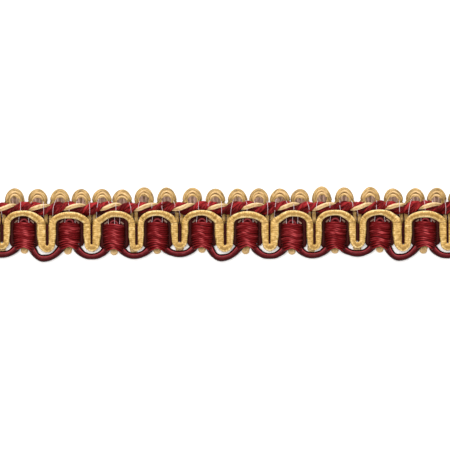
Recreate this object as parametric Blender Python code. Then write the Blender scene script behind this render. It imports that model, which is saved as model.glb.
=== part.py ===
"""A cut length of scalloped gimp braid, half an inch wide, lying face up on its back.

X runs along the braid, +Y points to its looped edge and +Z to its face. The origin is under the middle.
Sizes are in millimetres and become metres in the curves.
"""

import math
from collections import namedtuple

import bpy

MM = 0.001

# Driving dimensions of the braid
REPEAT = 30.14
REPEATS = 3
BLOCKS_PER_REPEAT = 4
COUNT = REPEATS * BLOCKS_PER_REPEAT
LENGTH = REPEAT * REPEATS
PITCH = REPEAT / BLOCKS_PER_REPEAT
GAP = 0.3
SQUARE_CUT = 0.12

# One repeat of the braid is four wound blocks, no two of them quite alike.
# centre: the block, from the start of the repeat. The other x values are from the block's centre.
# legs: the front cord's two legs. arch, turn: its highest and lowest point, the turn after the block.
# scallop: the lowest point of the burgundy cord's middle after the block. top, foot: the ends of the block.
Block = namedtuple("Block", "centre left_leg right_leg arch turn scallop top foot")
BLOCKS = (
    Block(3.62, -2.80, 2.88, 1.90, -3.62, -5.06, 0.60, -4.13),
    Block(11.17, -2.89, 2.92, 1.93, -4.16, -5.71, 0.60, -3.88),
    Block(18.86, -2.89, 2.98, 1.60, -3.98, -5.38, 0.55, -3.79),
    Block(26.39, -2.90, 3.05, 1.78, -4.03, -5.34, 0.32, -4.18),
)

# split: between the block's two edge loops. nub: the loop yarn's turn under the block.
# tuck: its turn before the next block. loop, peak: the middle and the top of the two edge loops.
Loops = namedtuple("Loops", "split nub nub_y tuck tuck_y loop_a peak_a loop_b peak_b")
LOOPS = (
    Loops(-0.41, -0.07, -4.56, 3.72, -4.30, -2.27, 6.26, 1.54, 6.20),
    Loops(0.25, 0.00, -4.40, 4.08, -4.20, -1.61, 6.20, 2.29, 6.08),
    Loops(0.19, -0.32, -4.60, 3.81, -4.20, -1.63, 6.06, 1.96, 6.06),
    Loops(-0.41, 0.00, -4.72, 3.37, -4.41, -2.01, 6.06, 1.37, 5.92),
)

# The distance to a flat side of a six or eight sided tube, as a share of that to its corners
HEXAGON_FLAT = math.cos(math.pi / 6)
OCTAGON_FLAT = math.cos(math.pi / 8)

# Loop yarn: the lowest layer, a bundle of strands that spreads out in the loops
YARN_HALF = 0.31
YARN_LOOP_HALF = 0.8
YARN_PRESS = 0.5
YARN_SPACING = 0.42
YARN_TURN_STEPS = 4
LEG_TOP_Y = 3.25
LOOP_FOOT_Y = 4.0
LOOP_WIDTH = 0.95
LOOP_STEPS = 6
YARN_TOP = 2 * YARN_HALF * HEXAGON_FLAT * YARN_PRESS

# Twisted rope along the braid, pressed a little flat
ROPE_Y = 2.68
ROPE_RADIUS = 1.12
ROPE_PRESS = 0.76
ROPE_LAYS = 15
ROPE_STEPS = 9
ROPE_SWAY = 0.1
ROPE_FIRST_CREST = 8.08
ROPE_VALLEY = 0.62
ROPE_FLANK = 0.86
ROPE_Z = YARN_TOP + GAP + ROPE_RADIUS * ROPE_PRESS

# Burgundy cord of the lower edge
SCALLOP_HALF = 0.54
SCALLOP_FOOT_HALF = 0.44
SCALLOP_BEHIND_HALF = 0.35
SCALLOP_CROWN_HALF = 0.25
SCALLOP_CROWN_RADIUS = 0.6
SCALLOP_CROWN_RISE = 0.28
SCALLOP_CROWN_STEPS = 4
SCALLOP_LEG = 1.1
SCALLOP_TAPER = 0.9
SCALLOP_SHARES = (0.0, 0.2, 0.45, 0.7, 0.9)
SCALLOP_SHIFTS = (0.0, -0.62, 0.0, -0.32)
SCALLOP_Z = YARN_TOP + GAP + SCALLOP_FOOT_HALF

# Wound blocks
BLOCK_HALF_WIDTH = 1.86
BLOCK_HALF_THICKNESS = 0.5
BLOCK_ROUNDING = 2.3
BLOCK_SIDES = 12
Ring = namedtuple("Ring", "share width")
BLOCK_RINGS = (
    Ring(0.0, 0.66),
    Ring(0.09, 0.9),
    Ring(0.3, 1.0),
    Ring(0.7, 1.0),
    Ring(0.95, 0.94),
    Ring(1.0, 0.82),
)
BLOCK_Z = SCALLOP_Z + SCALLOP_BEHIND_HALF + GAP + BLOCK_HALF_THICKNESS

# Front cord: its arches ride over the rope's lower side
FRONT_HALF = 0.46
FRONT_LEG_HALF = 0.6
FRONT_LEG_Z = 2.2
FRONT_SPRING_Y = -0.15
FRONT_CLIMB = 0.9
FRONT_WIDENING = 1.2
FRONT_ROUNDING = 2.3
FRONT_ARCH_STEPS = 8
FRONT_TURN_STEPS = 6
FRONT_ROPE_GAP = 0.35
FRONT_SIDE = ROPE_RADIUS + FRONT_HALF + GAP
FRONT_RISE = ROPE_RADIUS * ROPE_PRESS + FRONT_HALF + FRONT_ROPE_GAP

GOLD = (0.69, 0.46, 0.20, 1.0)
BURGUNDY = (0.26, 0.02, 0.022, 1.0)
DEEP_BURGUNDY = (0.14, 0.018, 0.02, 1.0)

Point = namedtuple("Point", "x y z radius tilt")


def clear_scene():
    """Start from an empty scene."""
    for leftover in list(bpy.data.objects):
        bpy.data.objects.remove(leftover)


def new_collection(name):
    """Make a collection under the scene's own."""
    collection = bpy.data.collections.new(name)
    bpy.context.scene.collection.children.link(collection)
    return collection


def yarn_material(name, colour, roughness):
    """A soft satin yarn colour."""
    material = bpy.data.materials.new(name)
    material.use_nodes = True
    shader = material.node_tree.nodes["Principled BSDF"]
    shader.inputs["Base Color"].default_value = colour
    shader.inputs["Roughness"].default_value = roughness
    shader.inputs["Metallic"].default_value = 0.0
    return material


def blend(low, high, share):
    """Go smoothly from low to high while share goes from 0 to 1."""
    share = min(1.0, max(0.0, share))
    return low + (high - low) * share * share * (3.0 - 2.0 * share)


def power(value, exponent):
    """Raise to a power and keep the sign."""
    return math.copysign(abs(value) ** exponent, value)


def cut_square(points):
    """Start and end the cord with a short piece along X, so that its cut ends are square."""
    first = points[0]
    last = points[-1]
    start = first._replace(x=-LENGTH / 2)
    end = last._replace(x=LENGTH / 2)
    inner_start = start._replace(x=start.x + SQUARE_CUT)
    inner_end = end._replace(x=end.x - SQUARE_CUT)
    return [start, inner_start] + points[1:-1] + [inner_end, end]


def tube_curve(name, points, collection):
    """A poly curve through the points, with closed ends."""
    curve = bpy.data.curves.new(name, "CURVE")
    curve.dimensions = "3D"
    curve.twist_mode = "Z_UP"
    curve.use_fill_caps = True
    spline = curve.splines.new("POLY")
    spline.points.add(len(points) - 1)
    for target, point in zip(spline.points, points):
        target.co = (point.x * MM, point.y * MM, point.z * MM, 1.0)
        target.radius = point.radius
        target.tilt = point.tilt
    spline.use_smooth = True
    tube = bpy.data.objects.new(name, curve)
    collection.objects.link(tube)
    return tube


def profile_curve(name, outline, collection):
    """A closed flat outline that other curves are swept with, listed clockwise."""
    curve = bpy.data.curves.new(name, "CURVE")
    curve.dimensions = "2D"
    spline = curve.splines.new("POLY")
    spline.points.add(len(outline) - 1)
    for target, (across, up) in zip(spline.points, outline):
        target.co = (across * MM, up * MM, 0.0, 1.0)
    spline.use_cyclic_u = True
    profile = bpy.data.objects.new(name, curve)
    profile.hide_render = True
    profile.display_type = "WIRE"
    collection.objects.link(profile)
    return profile


def block_x(number):
    """X of a block's centre."""
    repeat, kind = divmod(number, BLOCKS_PER_REPEAT)
    return repeat * REPEAT + BLOCKS[kind].centre - LENGTH / 2


def block_kind(number):
    """The table row of a block."""
    return BLOCKS[number % BLOCKS_PER_REPEAT]


def loop_kind(number):
    """The table row of a block's edge loops."""
    return LOOPS[number % BLOCKS_PER_REPEAT]


def yarn_point(x, y, half):
    """A point of the loop yarn, which lies with its flat side on the ground."""
    return Point(x, y, half * HEXAGON_FLAT, half, 0.0)


def yarn_turn(x, y, first, last):
    """The loop yarn's narrow turn with its lowest point at x, y, from one of its steps to another."""
    centre_y = y + YARN_SPACING
    points = []
    for step in range(first, last + 1):
        angle = math.pi + step * math.pi / YARN_TURN_STEPS
        turn_x = x + YARN_SPACING * math.cos(angle)
        turn_y = centre_y + YARN_SPACING * math.sin(angle)
        points.append(yarn_point(turn_x, turn_y, YARN_HALF))
    return points


def yarn_loop(start_x, end_x, middle_x, peak_y):
    """One edge loop from the leg at start_x to the leg at end_x."""
    outermost = LENGTH / 2 - LOOP_WIDTH - YARN_LOOP_HALF
    middle_x = min(outermost, max(-outermost, middle_x))
    rise = peak_y - YARN_LOOP_HALF - LOOP_FOOT_Y
    points = [yarn_point(start_x, LEG_TOP_Y, YARN_HALF)]
    for step in range(LOOP_STEPS + 1):
        angle = math.pi * (1 - step / LOOP_STEPS)
        x = middle_x + LOOP_WIDTH * math.cos(angle)
        y = LOOP_FOOT_Y + rise * math.sin(angle)
        points.append(yarn_point(x, y, YARN_LOOP_HALF))
    points.append(yarn_point(end_x, LEG_TOP_Y, YARN_HALF))
    return points


def make_loop_yarn(collection, material):
    """The bundle that loops out at the top edge and turns below and beside each block."""
    side = YARN_SPACING
    half_steps = YARN_TURN_STEPS // 2
    tuck_x = -LENGTH / 2
    tuck_y = loop_kind(COUNT - 1).tuck_y
    points = yarn_turn(tuck_x, tuck_y, half_steps, YARN_TURN_STEPS)
    for number in range(COUNT):
        centre = block_x(number)
        loops = loop_kind(number)
        nub_x = centre + loops.nub
        split_x = centre + loops.split
        points += yarn_loop(tuck_x + side, split_x - side, centre + loops.loop_a, loops.peak_a)
        points += yarn_turn(nub_x, loops.nub_y, 0, YARN_TURN_STEPS)
        last = number == COUNT - 1
        tuck_x = LENGTH / 2 if last else centre + loops.tuck
        points += yarn_loop(split_x + side, tuck_x - side, centre + loops.loop_b, loops.peak_b)
        points += yarn_turn(tuck_x, loops.tuck_y, 0, half_steps if last else YARN_TURN_STEPS)
    yarn = tube_curve("gold_loop_yarn", cut_square(points), collection)
    yarn.data.bevel_depth = MM
    yarn.data.bevel_resolution = 1
    yarn.scale.z = YARN_PRESS
    yarn.data.materials.append(material)


def scallop_point(x, y, half):
    """A point of the burgundy cord."""
    return Point(x, y, SCALLOP_Z, half / OCTAGON_FLAT, math.pi / 8)


def scallop_side(turn_x, turn_y, centre, side, foot_y):
    """The burgundy cord from its lowest point up to one side of a block's foot, and on behind it."""
    foot_x = centre + side * SCALLOP_LEG
    behind_x = centre + side * SCALLOP_CROWN_RADIUS
    points = []
    for share in SCALLOP_SHARES:
        x = turn_x + (foot_x - turn_x) * share
        y = turn_y + (foot_y - turn_y) * share * share
        points.append(scallop_point(x, y, blend(SCALLOP_HALF, SCALLOP_FOOT_HALF, share)))
    points.append(scallop_point(foot_x, foot_y, SCALLOP_FOOT_HALF))
    points.append(scallop_point(behind_x, foot_y + SCALLOP_TAPER, SCALLOP_BEHIND_HALF))
    return points


def scallop_crown(centre, crown_y):
    """The burgundy cord's small turn, which shows above a block."""
    points = []
    for step in range(SCALLOP_CROWN_STEPS + 1):
        angle = math.pi * (1 - step / SCALLOP_CROWN_STEPS)
        x = centre + SCALLOP_CROWN_RADIUS * math.cos(angle)
        y = crown_y - SCALLOP_CROWN_RADIUS + SCALLOP_CROWN_RADIUS * math.sin(angle)
        points.append(scallop_point(x, y, SCALLOP_CROWN_HALF))
    return points


def make_scallop_cord(collection, material):
    """The burgundy cord that hangs between the blocks and turns back behind each of them."""
    points = []
    turn_x = -LENGTH / 2
    turn_y = block_kind(COUNT - 1).scallop
    for number in range(COUNT):
        centre = block_x(number)
        block = block_kind(number)
        last = number == COUNT - 1
        points += scallop_side(turn_x, turn_y, centre, -1, block.foot)
        points += scallop_crown(centre, block.top + SCALLOP_CROWN_RISE)
        middle = (centre + block_x(number + 1)) / 2 + SCALLOP_SHIFTS[number % BLOCKS_PER_REPEAT]
        turn_x = LENGTH / 2 if last else middle
        turn_y = block.scallop
        falling = scallop_side(turn_x, turn_y, centre, 1, block.foot)
        points += reversed(falling if last else falling[1:])
    cord = tube_curve("burgundy_scallop_cord", cut_square(points), collection)
    cord.data.bevel_depth = MM
    cord.data.bevel_resolution = 2
    cord.data.materials.append(material)


def front_point(x, y):
    """A point of the front cord, lifted where it rides over the rope."""
    away = (ROPE_Y - y) / FRONT_SIDE
    over_rope = ROPE_Z + FRONT_RISE * math.sqrt(max(0.0, 1.0 - away * away))
    z = blend(FRONT_LEG_Z, max(FRONT_LEG_Z, over_rope), (y - FRONT_SPRING_Y) / FRONT_CLIMB)
    half = blend(FRONT_LEG_HALF, FRONT_HALF, (y - FRONT_SPRING_Y) / FRONT_WIDENING + 0.5)
    return Point(x, y, z, half / OCTAGON_FLAT, math.pi / 8)


def front_turn(left_x, right_x, turn_y, first, last):
    """The front cord's turn between two legs."""
    radius = (right_x - left_x) / 2
    centre_x = (left_x + right_x) / 2
    points = []
    for step in range(first, last + 1):
        angle = math.pi + step * math.pi / FRONT_TURN_STEPS
        x = centre_x + radius * math.cos(angle)
        y = turn_y + radius + radius * math.sin(angle)
        points.append(front_point(x, y))
    return points


def front_arch(left_x, right_x, arch_y):
    """The front cord's arch over a block."""
    half_width = (right_x - left_x) / 2
    centre_x = (left_x + right_x) / 2
    rise = arch_y - FRONT_SPRING_Y
    exponent = 2 / FRONT_ROUNDING
    points = []
    for step in range(FRONT_ARCH_STEPS + 1):
        angle = math.pi * (1 - step / FRONT_ARCH_STEPS)
        x = centre_x + half_width * power(math.cos(angle), exponent)
        y = FRONT_SPRING_Y + rise * power(math.sin(angle), exponent)
        points.append(front_point(x, y))
    return points


def make_front_cord(collection, material):
    """The gold cord that runs in arches over the blocks and in narrow turns between them."""
    half_steps = FRONT_TURN_STEPS // 2
    first_left = block_x(0) + block_kind(0).left_leg
    first_turn = block_kind(COUNT - 1).turn
    points = front_turn(-LENGTH - first_left, first_left, first_turn, half_steps, FRONT_TURN_STEPS)
    for number in range(COUNT):
        centre = block_x(number)
        block = block_kind(number)
        right_x = centre + block.right_leg
        points += front_arch(centre + block.left_leg, right_x, block.arch)
        if number < COUNT - 1:
            next_left = block_x(number + 1) + block_kind(number + 1).left_leg
            points += front_turn(right_x, next_left, block.turn, 0, FRONT_TURN_STEPS)
        else:
            points += front_turn(right_x, LENGTH - right_x, block.turn, 0, half_steps)
    cord = tube_curve("gold_front_cord", cut_square(points), collection)
    cord.data.bevel_depth = MM
    cord.data.bevel_resolution = 2
    cord.data.materials.append(material)


def make_rope(collection, guides, material):
    """The three-ply rope, its plies raised as three twisted ridges."""
    shape = (1.0, ROPE_FLANK, ROPE_VALLEY, ROPE_FLANK)
    corners = 3 * len(shape)
    outline = []
    for corner in range(corners):
        angle = math.pi / 2 - corner * 2 * math.pi / corners
        radius = ROPE_RADIUS * shape[corner % len(shape)]
        outline.append((radius * math.cos(angle), radius * math.sin(angle)))
    profile = profile_curve("rope_section", outline, guides)
    steps = ROPE_LAYS * ROPE_STEPS
    points = []
    for step in range(steps + 1):
        along = LENGTH * step / steps
        twist = -2 * math.pi * (along - ROPE_FIRST_CREST) * ROPE_LAYS / LENGTH
        sway = ROPE_SWAY * math.cos(2 * math.pi * (along - BLOCKS[0].centre) / PITCH)
        points.append(Point(along - LENGTH / 2, ROPE_Y + sway, 0.0, 1.0, twist))
    rope = tube_curve("twisted_rope", points, collection)
    rope.data.bevel_mode = "OBJECT"
    rope.data.bevel_object = profile
    rope.location.z = ROPE_Z * MM
    rope.scale.z = ROPE_PRESS
    rope.data.materials.append(material)


def make_blocks(collection, guides, material):
    """The wound blocks, barrels that lie along Y over the burgundy cord's legs."""
    exponent = 2 / BLOCK_ROUNDING
    outline = []
    for side in range(BLOCK_SIDES):
        angle = -(side + 0.5) * 2 * math.pi / BLOCK_SIDES
        across = BLOCK_HALF_WIDTH * power(math.cos(angle), exponent)
        up = BLOCK_HALF_THICKNESS * power(math.sin(angle), exponent)
        outline.append((across, up))
    profile = profile_curve("block_section", outline, guides)
    for number in range(COUNT):
        block = block_kind(number)
        height = block.top - block.foot
        points = [Point(0.0, height * ring.share, 0.0, ring.width, 0.0) for ring in BLOCK_RINGS]
        barrel = tube_curve(f"wound_block_{number + 1:02d}", points, collection)
        barrel.data.bevel_mode = "OBJECT"
        barrel.data.bevel_object = profile
        barrel.location = (block_x(number) * MM, block.foot * MM, BLOCK_Z * MM)
        barrel.data.materials.append(material)


def main():
    """Build the braid."""
    clear_scene()
    braid = new_collection("gimp_braid")
    guides = new_collection("section_guides")
    make_loop_yarn(braid, yarn_material("gold_loops", GOLD, 0.5))
    make_scallop_cord(braid, yarn_material("burgundy_cord", DEEP_BURGUNDY, 0.5))
    make_blocks(braid, guides, yarn_material("burgundy_winding", BURGUNDY, 0.4))
    make_rope(braid, guides, yarn_material("rope_plies", BURGUNDY, 0.45))
    make_front_cord(braid, yarn_material("gold_cord", GOLD, 0.45))


main()
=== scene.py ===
"""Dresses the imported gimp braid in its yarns, on a pale floor in soft light.

The file is laid out as an add-on: each operator makes one piece or a few like ones, and the last the stage.
X runs along the braid, +Y points to its looped edge and +Z to its face. Table values are in
millimetres, and everything becomes metres when a path or a mesh is made.
"""

import math
import random
from collections import namedtuple
from functools import cache

import bmesh
import bpy
from mathutils import Euler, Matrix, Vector


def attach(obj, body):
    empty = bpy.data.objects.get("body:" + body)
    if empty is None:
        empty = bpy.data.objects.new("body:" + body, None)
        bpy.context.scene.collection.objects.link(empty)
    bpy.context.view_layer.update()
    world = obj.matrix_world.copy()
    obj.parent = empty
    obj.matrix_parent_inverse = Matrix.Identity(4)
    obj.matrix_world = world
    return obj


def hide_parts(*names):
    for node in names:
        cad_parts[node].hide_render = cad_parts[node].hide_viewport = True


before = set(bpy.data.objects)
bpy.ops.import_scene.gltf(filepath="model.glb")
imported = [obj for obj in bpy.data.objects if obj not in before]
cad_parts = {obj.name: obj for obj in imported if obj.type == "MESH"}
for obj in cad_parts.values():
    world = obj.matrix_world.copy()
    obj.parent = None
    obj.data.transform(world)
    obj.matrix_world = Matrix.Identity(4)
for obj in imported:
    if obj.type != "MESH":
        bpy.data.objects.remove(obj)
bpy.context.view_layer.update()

bl_info = {
    "name": "Gimp Braid Yarns",
    "version": (1, 0, 0),
    "blender": (4, 5, 0),
    "location": "3D View > Sidebar > Braid",
    "description": "Makes the cords, winding, rope and stitches of a scalloped gimp braid",
    "category": "Object",
}

MM = 0.001
TURN = 2 * math.pi

# Driving dimensions, the same as in the braid's solids
REPEAT = 30.14
REPEATS = 3
BLOCKS_PER_REPEAT = 4
COUNT = REPEATS * BLOCKS_PER_REPEAT
LENGTH = REPEAT * REPEATS
PITCH = REPEAT / BLOCKS_PER_REPEAT

# Each block and what lies round it. The centre is x from the start of a repeat, and the legs are x from the
# centre. The rest is y: of the front cord over and after the block, of the scallop after it, and of its ends
Block = namedtuple("Block", "centre left_leg right_leg arch turn scallop top foot")
BLOCKS = (
    Block(3.62, -2.80, 2.88, 1.90, -3.62, -5.02, 0.60, -4.13),
    Block(11.17, -2.89, 2.92, 1.93, -4.16, -5.70, 0.60, -3.88),
    Block(18.86, -2.89, 2.98, 1.60, -3.98, -5.42, 0.55, -3.79),
    Block(26.39, -2.90, 3.05, 1.78, -4.03, -5.30, 0.32, -4.18),
)
# The loop yarn at each block: x from its centre, and the y of each turn's lowest or highest point
Loops = namedtuple("Loops", "split nub nub_y tuck tuck_y loop_a peak_a loop_b peak_b")
LOOPS = (
    Loops(-0.41, -0.07, -4.56, 3.72, -4.30, -2.27, 6.38, 1.54, 6.23),
    Loops(0.25, 0.00, -4.40, 4.08, -4.20, -1.61, 6.24, 2.29, 6.08),
    Loops(0.19, -0.32, -4.60, 3.81, -4.20, -1.63, 6.06, 1.96, 6.06),
    Loops(-0.41, 0.00, -4.72, 3.37, -4.41, -2.01, 6.06, 1.37, 5.92),
)

# Loop yarn: half its width in a leg and in a loop, and the course of its turns, legs and loops
YARN_HALF = 0.31
YARN_LOOP_HALF = 0.8
YARN_SPACING = 0.42
YARN_Z = 0.46
NUB_PLUMP = 0.12
# Painted light that makes every turn of the loop yarn lighter, the nub under each block among them
YARN_TURN_LIGHT = 0.6
LEG_LOW_YS = (-3.2, -2.6, -0.3)
LEG_STRAIGHT_Y = 2.1
LEG_TOP_Y = 3.1
LEG_SHADE = -1.0
LOOP_FOOT_Y = 3.95
LOOP_WIDTH = 0.85
LOOP_ROUNDING = 1.84
# Painted shade at the foot of each loop and low on its flanks, and painted light on its top
LOOP_FOOT_SHADE = -0.5
LOOP_FLANK_SHADE = -0.45
LOOP_TOP_LIGHT = 0.1
# Between two arches a leg bulges into sight; there its painted shade fades and it gets painted light
BULGE = 0.55
BULGE_HEIGHT = 1.6
BULGE_LIGHT = 0.15
SHADE_HEIGHT = 0.5
# One strand, in shares of the yarn's half width: its place across it on a crest and down its flanks,
# and half its own thickness. The lift is its height, and the tones are its painted light and shade on a crest
# and on a flank; a thin strand with a low tone paints the dark line of shade between strands
Strand = namedtuple("Strand", "crest flank share lift tone flank_tone")
STRANDS = (
    Strand(0.58, 0.62, 0.42, -0.04, -0.35, 0.0),
    Strand(0.20, 0.42, 0.24, 0.18, 0.75, 0.0),
    Strand(-0.12, 0.24, 0.19, 0.06, -1.4, 0.0),
    Strand(-0.46, 0.08, 0.24, 0.20, 0.6, 0.0),
    Strand(-0.78, -0.25, 0.34, 0.10, -0.05, -0.35),
    Strand(-1.10, -0.62, 0.36, 0.0, -0.45, -0.6),
)
# Strand tones, painted light and shade, keep this share on a flank, and show only where the yarn widens into
# a loop
FLANK_TONE_SHARE = 0.1
TONED_FROM_HALF = 0.45
TONED_OVER = 0.3
# Points nearer to each other than this count as one
SAME_PLACE = 1e-6
# Dark yarns that paint the shade in the hollow of a loop: x from its middle, how far the top is below the
# middle one's, and tone
HOLLOWS = ((-0.76, 0.36, -0.2), (-0.40, 0.1, 0.3), (0.0, 0.0, -0.5), (0.38, 0.08, 0.15), (0.76, 0.34, -0.3))
HOLLOW_HALF = 0.25
HOLLOW_Z = 0.62
HOLLOW_OVERLAP = 0.12
HOLLOW_FOOT_Y = 2.9
HOLLOW_END_GAP = 1.0
# Short yarns at both upper corners of a block, where the loop yarn peeks out, in the painted shade colour
CORNER_XS = (-1.55, 1.62)
CORNER_LEAN = 0.5
CORNER_SINK = 0.3
CORNER_RISE = 0.45
CORNER_Z = 1.9
CORNER_HALF = 0.15

# Twisted rope: where each gold crest comes, from the start of a repeat
ROPE_CRESTS = (8.08, 13.51, 19.50, 25.73, 31.49)
ROPE_Y = 2.74
ROPE_Z = 1.42
ROPE_RADIUS = 1.12
ROPE_PRESS = 0.76
ROPE_SWAY = 0.1
ROPE_STATIONS = 900
PLY_CIRCLE = 0.63
PLY_HALF = 0.57
# Painted light: a burgundy ply is lighter on its side towards the loops and darker on the other, and the gold
# ply lighter on its crest
PLY_LIGHT = 0.3
PLY_FLOOR = 0.3
GOLD_PLY_CIRCLE = 0.36
GOLD_PLY_RISE = 0.2
GOLD_PLY_STAY = 0.7
GOLD_PLY_LEAD = 0.16
GOLD_PLY_TOP = 1.0
GOLD_PLY_HALF = 0.38
GOLD_PLY_THIN = 0.15
# Painted shade on the gold ply where it thins at its ends
GOLD_PLY_END_SHADE = -0.5
GOLD_PLY_BREADTH = 0.7

# Burgundy cord of the lower edge: half its thickness at each scallop, how far each is off the middle
# between its blocks, and how much lower the cord leaves a block on the right than on the left
SCALLOP_HALVES = (0.60, 0.63, 0.51, 0.58)
SCALLOP_SHIFTS = (0.0, -0.62, 0.0, -0.32)
SCALLOP_DROPS = (0.0, 0.1, 0.35, 0.1)
SCALLOP_Z = 1.008
SCALLOP_FLANK_HALF = 0.56
SCALLOP_FOOT_HALF = 0.69
SCALLOP_BEHIND_HALF = 0.35
SCALLOP_ROUNDING = 2.35
SCALLOP_LEG = 1.33
SCALLOP_TAPER = 0.9
CROWN_HALF = 0.3
CROWN_RADIUS = 0.55
CROWN_RISE = 0.24
CROWN_LIFT = 0.8
# Painted light on the crown
CROWN_LIGHT = 0.25

# Wound blocks. The widths are shares of the block's, at heights from 0 at its foot to 1 at its top
BLOCK_Z = 2.0
BLOCK_HALF_WIDTH = 1.90
BLOCK_HALF_THICKNESS = 0.85
TURN_WIDTHS = ((0.0, 0.70), (0.1, 0.90), (0.3, 1.0), (0.72, 1.0), (0.93, 0.93), (1.0, 0.76))
CORE_WIDTHS = ((0.0, 0.64), (0.1, 0.82), (0.3, 0.95), (0.72, 0.95), (0.93, 0.87), (1.0, 0.68))
SLANTS = (-0.13, -0.07)
BOWS = (70.0, 120.0)

# Front cord: half its thickness from its left leg to the turn after it, and how far each shoulder droops
FRONT_HALF = 0.5
Front = namedtuple(
    "Front", "left_leg left_shoulder crown right_shoulder right_leg turn left_droop right_droop"
)
FRONTS = (
    Front(0.53, 0.49, 0.465, 0.58, 0.60, 0.53, 0.0, 0.2),
    Front(0.57, 0.51, 0.46, 0.64, 0.77, 0.57, 0.0, 0.3),
    Front(0.63, 0.52, 0.58, 0.58, 0.61, 0.60, 0.0, 0.13),
    Front(0.72, 0.57, 0.53, 0.50, 0.57, 0.47, 0.42, 0.0),
)
ARCH_STATIONS = (0.0, 0.3, 0.5, 0.7, 1.0)
# Painted shade along the front cord: some on its legs, a little more on the crown of an arch, most at the
# bottom of a turn
ARCH_SHADE = -0.28
TURN_SHADE = -0.55
FRONT_LEG_SHADE = -0.26
LEG_TAPER = 0.86
LEG_TAPER_HEIGHT = 1.6
FRONT_LEG_Z = 2.2
FRONT_SPRING_Y = -0.15
FRONT_CLIMB = 0.9
FRONT_ROUNDING = 2.3
FRONT_SIDE = ROPE_RADIUS + FRONT_HALF + 0.3
FRONT_RISE = ROPE_RADIUS * ROPE_PRESS + FRONT_HALF + 0.3

# Stitches over the rope: both ends, from the start of a repeat, and how far the middle bows to the right
Stitch = namedtuple("Stitch", "upper_x upper_y lower_x lower_y bow")
STITCHES = (
    Stitch(10.63, 3.99, 10.60, 1.88, -0.03),
    Stitch(12.49, 3.99, 12.19, 3.06, -0.05),
    Stitch(14.48, 3.91, 14.48, 1.37, 0.03),
    Stitch(16.52, 4.11, 16.02, 1.37, -0.13),
    Stitch(18.62, 4.05, 18.79, 1.88, 0.12),
    Stitch(20.15, 3.91, 20.06, 3.06, -0.05),
    Stitch(22.18, 3.91, 22.26, 1.37, 0.1),
    Stitch(23.79, 4.25, 23.45, 1.03, -0.08),
    Stitch(25.46, 3.91, 25.80, 3.06, 0.02),
    Stitch(26.68, 3.40, 26.72, 1.88, 0.05),
    Stitch(28.98, 3.74, 29.32, 1.88, 0.13),
    Stitch(30.78, 3.91, 30.51, 2.56, -0.05),
    Stitch(32.79, 3.57, 32.84, 2.73, 0.03),
    Stitch(34.57, 3.97, 34.67, 2.22, -0.1),
    Stitch(36.43, 3.97, 36.71, 2.90, 0.13),
    Stitch(37.45, 2.31, 37.65, 1.29, 0.0),
)
STITCH_END_GAP = 0.3
STITCH_LOW_Z = 0.9
STITCH_LIFT = 0.03
STITCH_SIDE = ROPE_RADIUS + 0.1
STITCH_RISE = (ROPE_RADIUS + 0.05) * ROPE_PRESS
# Short stitches in the hollow under each arch: x at the upper and the lower end, from the block's centre
SHORT_STITCHES = (
    ((-0.75, -0.95), (0.95, 0.80)),
    ((-0.80, -0.92), (0.72, 0.86)),
    ((-0.72, -0.75), (0.95, 0.98)),
    ((-0.94, -0.93), (1.04, 0.98), (0.10, 0.16)),
)
SHORT_UNDER_ARCH = 0.35
SHORT_INTO_BLOCK = 0.25
SHORT_TOP_Z = 1.85
SHORT_CLIMB = 0.95
# Ties over the right shoulders of the arches
TIE_Y = 0.27
TIE_SLOPE = 0.12
TIE_HALF = 0.05
TIE_GAP = 0.02
TIE_DEPTH = 0.95
TIE_FIRST = 0.95 * math.pi
TIE_LAST = 0.05 * math.pi

# Near-black threads along the braid behind the rope, and behind the hollow under each arch, that paint the
# shade seen through the gaps
GROUND_ROWS = (-0.3, 0.1, 0.5, 0.9, 1.3, 1.7, 2.1, 2.5, 2.9, 3.3)
GROUND_HALF = 0.2
GROUND_Z = 0.24
GROUND_RIPPLE = 0.05
RIPPLE_RATE = 3.3
ROW_SHIFT = 1.9
HOLE_ROWS = (0.15, 0.45, 0.75, 1.05, 1.35)
HOLE_HALF = 0.19
HOLE_REACH = 2.1
HOLE_Z = 0.95
HOLE_DIP = 0.06
# Dark yarns in the slot of each turn, and at both sides of a block, that paint the shade there
SLOT_HALF = 0.36
SLOT_Z = 0.85
SLOT_ABOVE_TURN = 0.7
SIDE_X = 1.7
SIDE_SPREAD = 0.36
SIDE_Z = 0.75
SIDE_HALF = 0.12
SIDE_SWELL = 0.4
SIDE_QUICKNESS = 10.0
SIDE_ABOVE_FOOT = 0.08
SIDE_ABOVE_TOP = 0.8

# Camera and lights
CAMERA_Y = -0.15
CAMERA_ROLL = -0.003
LOWER_LIGHT_SHARE = 0.25
WARM_WHITE = (1.0, 0.99, 0.97)


# Settings


def length_setting(name, description, default, precision=5):
    """A length."""
    return bpy.props.FloatProperty(
        name=name, description=description, default=default, min=0.00001, unit="LENGTH", precision=precision
    )


def amount_setting(name, description, default, **options):
    """A number from 0 up."""
    return bpy.props.FloatProperty(name=name, description=description, default=default, min=0.0, **options)


def count_setting(name, description, default):
    """A whole number from 1 up."""
    return bpy.props.IntProperty(name=name, description=description, default=default, min=1)


def colour_setting(name, description, default):
    """A colour."""
    return bpy.props.FloatVectorProperty(
        name=name, description=description, default=default, subtype="COLOR", size=3, min=0.0, max=1.0
    )


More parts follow.
